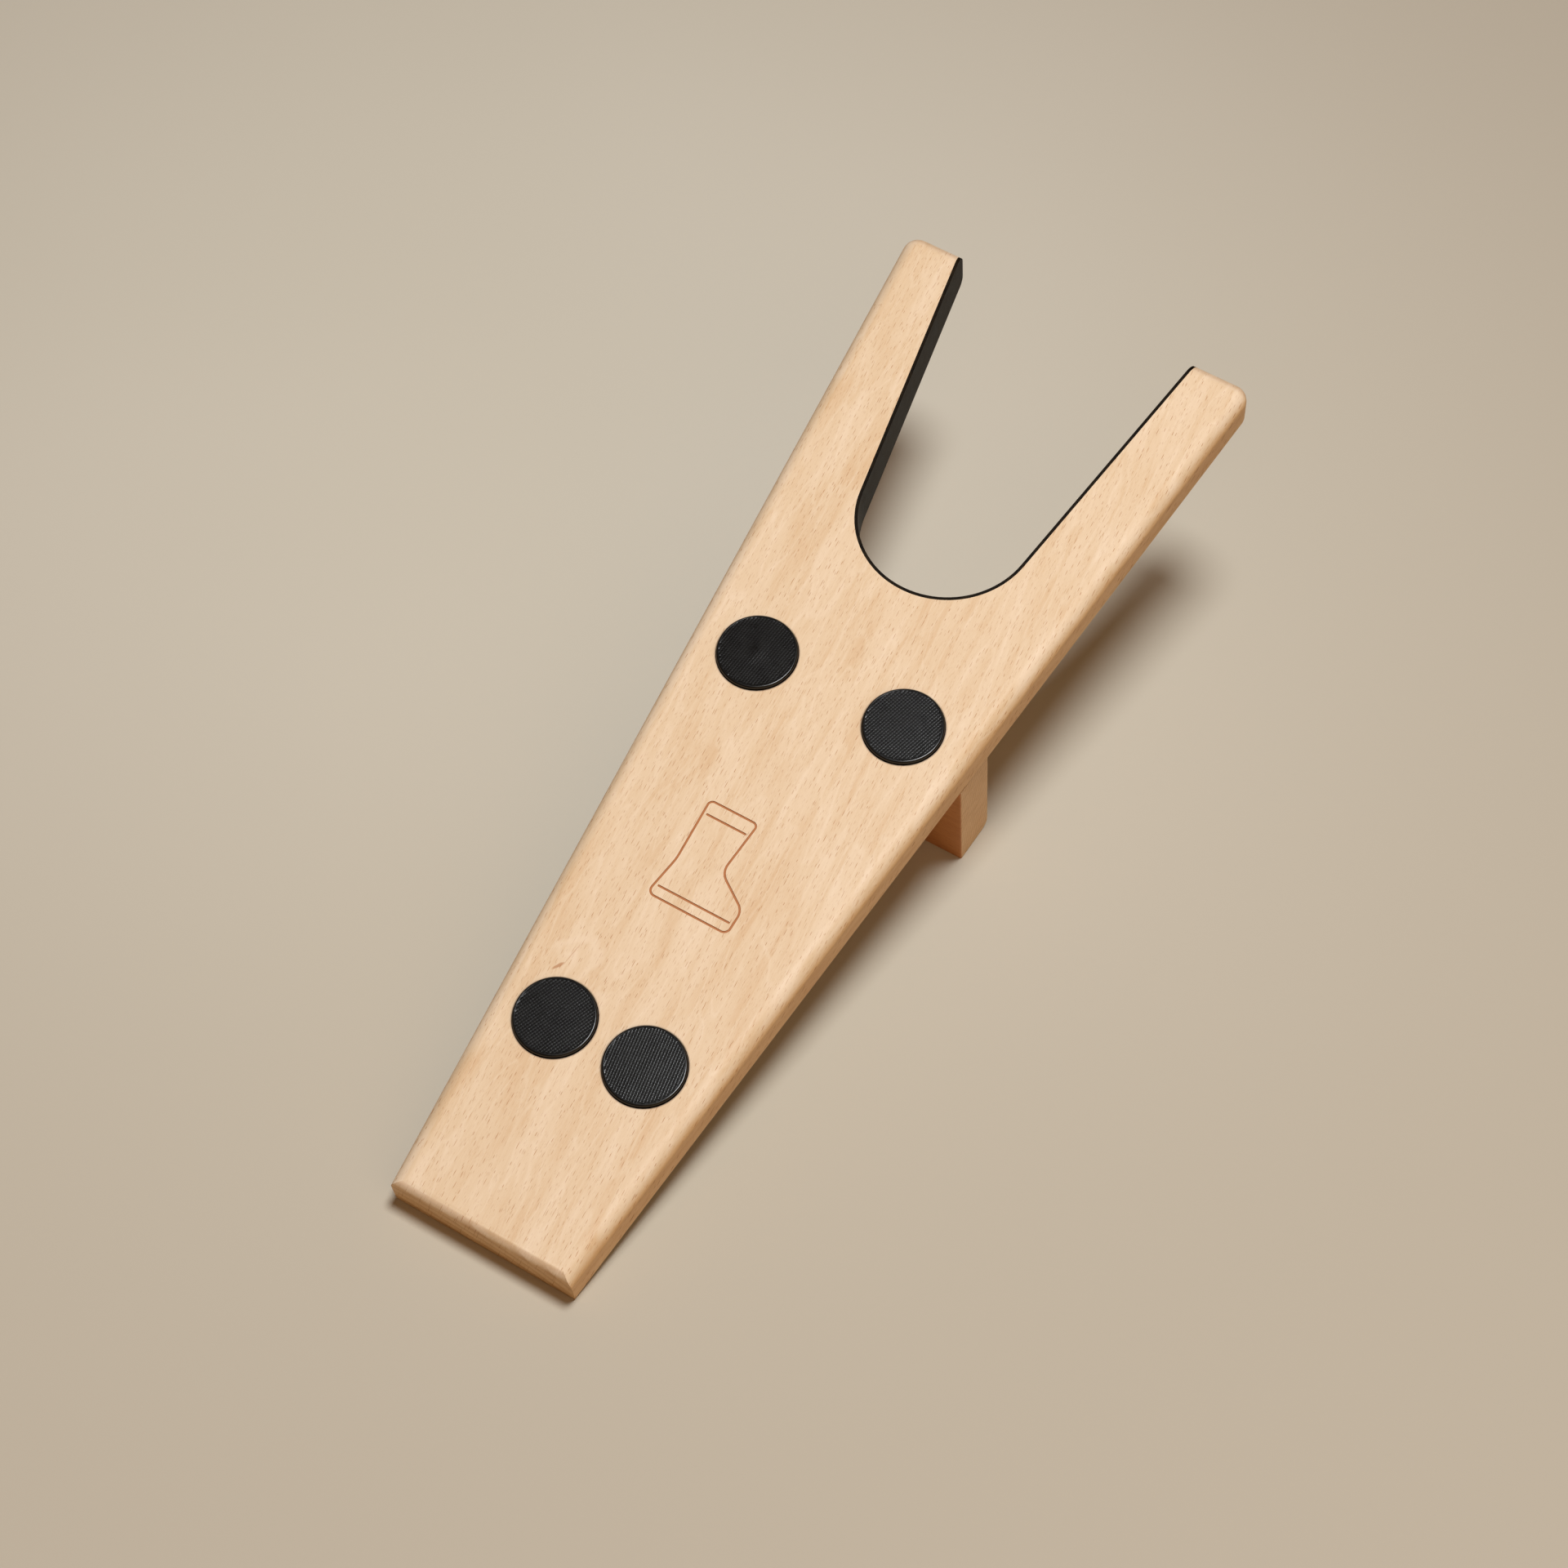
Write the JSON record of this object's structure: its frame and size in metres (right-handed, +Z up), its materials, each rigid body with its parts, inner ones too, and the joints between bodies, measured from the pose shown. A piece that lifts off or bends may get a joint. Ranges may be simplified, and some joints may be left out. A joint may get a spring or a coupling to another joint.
{
  "type": "boot jack",
  "caption": "Free-standing wooden boot jack: a sloping tapered board with a lined heel fork, grip discs and a support block underneath.",
  "frame": {"origin": "on the floor, under the middle of the jack's overall width and length", "axes": "+X to the right seen from the tail, +Y from the tail to the heel fork, +Z up from the floor"},
  "size_m": [0.1202, 0.3374, 0.0965],
  "materials": {
    "board_wood": "sanded beech, oiled, satin",
    "block_wood": "sawn and sanded beech, satin",
    "liner_rubber": "smooth, slightly glossy",
    "disc_rubber": "moulded, textured field with a satin rim",
    "screw_steel": "zinc plated"
  },
  "bodies": {
    "root": {"board": "board_wood", "fork_liner": "liner_rubber", "support_block": "block_wood", "grip_disc_heel_left": "disc_rubber", "grip_disc_heel_right": "disc_rubber", "grip_disc_toe_left": "disc_rubber", "grip_disc_toe_right": "disc_rubber", "block_screw_left": "screw_steel", "block_screw_right": "screw_steel"}
  },
  "joints": []
}
